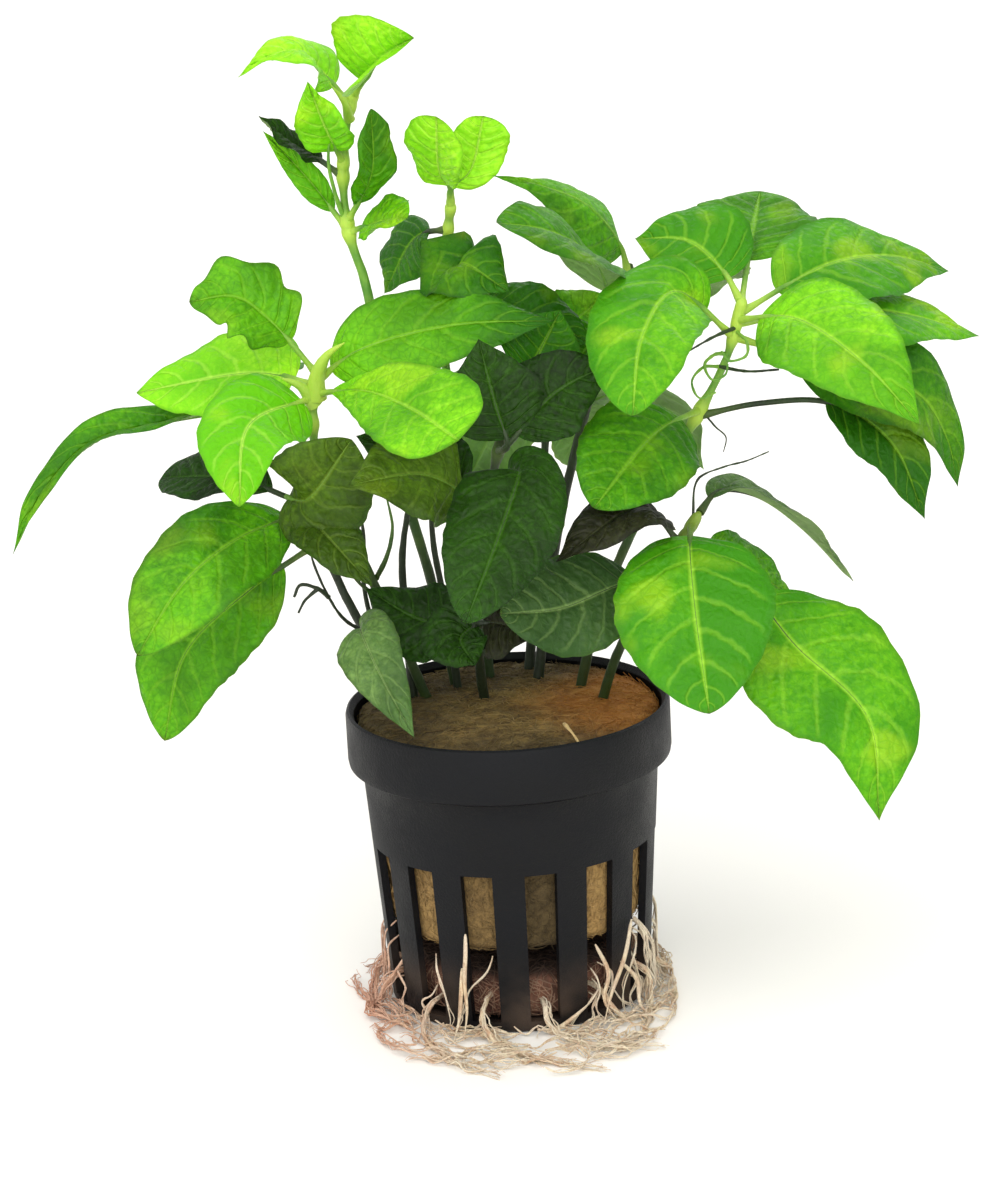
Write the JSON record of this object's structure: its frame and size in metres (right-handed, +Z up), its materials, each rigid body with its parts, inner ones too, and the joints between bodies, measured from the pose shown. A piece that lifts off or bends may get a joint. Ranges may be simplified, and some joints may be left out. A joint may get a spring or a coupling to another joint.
{
  "type": "potted aquarium plant",
  "caption": "Bushy aquarium plant: leafy stems with pointed oval green leaves, growing from a wool plug in a black slotted net pot, with pale roots round its foot.",
  "frame": {"origin": "centre of the pot's flat underside, on the surface that the pot stands on", "axes": "+Z up along the pot's axis, -Y towards the side that the picture shows, +X to the right in the picture"},
  "size_m": [0.1495, 0.0822, 0.1541],
  "materials": {
    "pot_plastic": "satin",
    "plug_wool": "matte",
    "root_pale": "matte",
    "stem_green": "satin",
    "leaf_lime": "satin",
    "leaf_bright": "satin",
    "leaf_mid": "satin",
    "leaf_dark": "satin",
    "leaf_olive": "satin",
    "leaf_grey": "satin",
    "leaf_brown": "satin"
  },
  "bodies": {
    "root": {"net_pot": "pot_plastic", "wool_plug": "plug_wool", "roots": "root_pale", "stem_tall": "stem_green", "stem_heart": "stem_green", "stem_arch": "stem_green", "stem_right_main": "stem_green", "stem_right_low": "stem_green", "stem_left_upper": "stem_green", "stem_left_low": "stem_green", "stem_middle": "stem_green", "stem_back": "stem_green", "leaf_tall_top_right": "leaf_lime", "leaf_tall_top_left": "leaf_lime", "leaf_tall_inner_left": "leaf_lime", "leaf_tall_side_left": "leaf_dark", "leaf_tall_low_left": "leaf_bright", "leaf_tall_side_right": "leaf_mid", "leaf_tall_low_right": "leaf_bright", "leaf_pair_heart": "leaf_lime", "leaf_heart_drooping": "leaf_dark", "leaf_pair_heart_low": "leaf_dark", "leaf_arch_upper": "leaf_mid", "leaf_arch_lower": "leaf_mid", "leaf_pair_arch_inner": "leaf_dark", "leaf_pair_right_top": "leaf_bright", "leaf_right_top_back": "leaf_mid", "leaf_right_far_upper": "leaf_bright", "leaf_right_far_middle": "leaf_bright", "leaf_right_big": "leaf_bright", "leaf_right_curled": "leaf_mid", "leaf_right_long_stalk": "leaf_mid", "leaf_right_front": "leaf_bright", "leaf_right_front_low": "leaf_mid", "leaf_right_edge_on": "leaf_grey", "leaf_right_round": "leaf_bright", "leaf_right_far_low": "leaf_bright", "leaf_right_low_back": "leaf_mid", "leaf_right_under": "leaf_brown", "leaf_left_up": "leaf_mid", "leaf_pair_left_level": "leaf_lime", "leaf_left_hanging": "leaf_lime", "leaf_left_hook": "leaf_mid", "leaf_left_fold": "leaf_bright", "leaf_left_crossing": "leaf_bright", "leaf_left_low_upper": "leaf_mid", "leaf_left_low_lower": "leaf_mid", "leaf_left_low_inner": "leaf_dark", "leaf_pair_left_low": "leaf_olive", "leaf_rim_drape": "leaf_grey", "leaf_middle_front": "leaf_dark", "leaf_pair_middle_upper": "leaf_dark", "leaf_pair_middle_left": "leaf_olive", "leaf_middle_right": "leaf_dark", "leaf_middle_skirt": "leaf_grey", "leaf_pair_low_dark": "leaf_dark", "leaf_pair_back_high": "leaf_mid", "leaf_pair_back_left": "leaf_mid", "leaf_pair_back_right": "leaf_mid", "leaf_back_low": "leaf_mid"}
  },
  "joints": []
}
